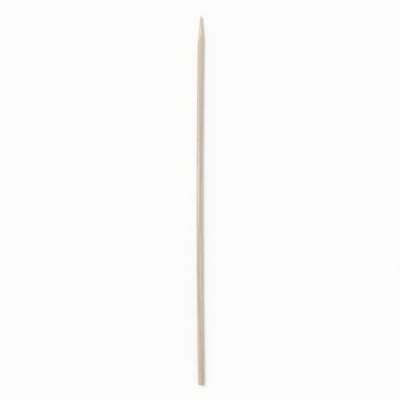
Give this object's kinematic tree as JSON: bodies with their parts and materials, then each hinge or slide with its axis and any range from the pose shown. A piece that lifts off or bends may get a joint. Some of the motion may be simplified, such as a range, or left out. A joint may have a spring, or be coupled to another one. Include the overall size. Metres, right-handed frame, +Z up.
{
  "type": "bamboo skewer",
  "caption": "Thin round bamboo skewer with a long ground point at one end and a square sawn butt at the other, slightly bowed along its length.",
  "frame": {"origin": "on the surface that the skewer lies on, under the middle of its box", "axes": "+Y along the skewer towards its point, +Z up, and the bow stands out towards -X"},
  "size_m": [0.0038, 0.2032, 0.0029],
  "materials": {
    "bamboo": "satin"
  },
  "bodies": {
    "root": {"skewer": "bamboo"}
  },
  "joints": []
}
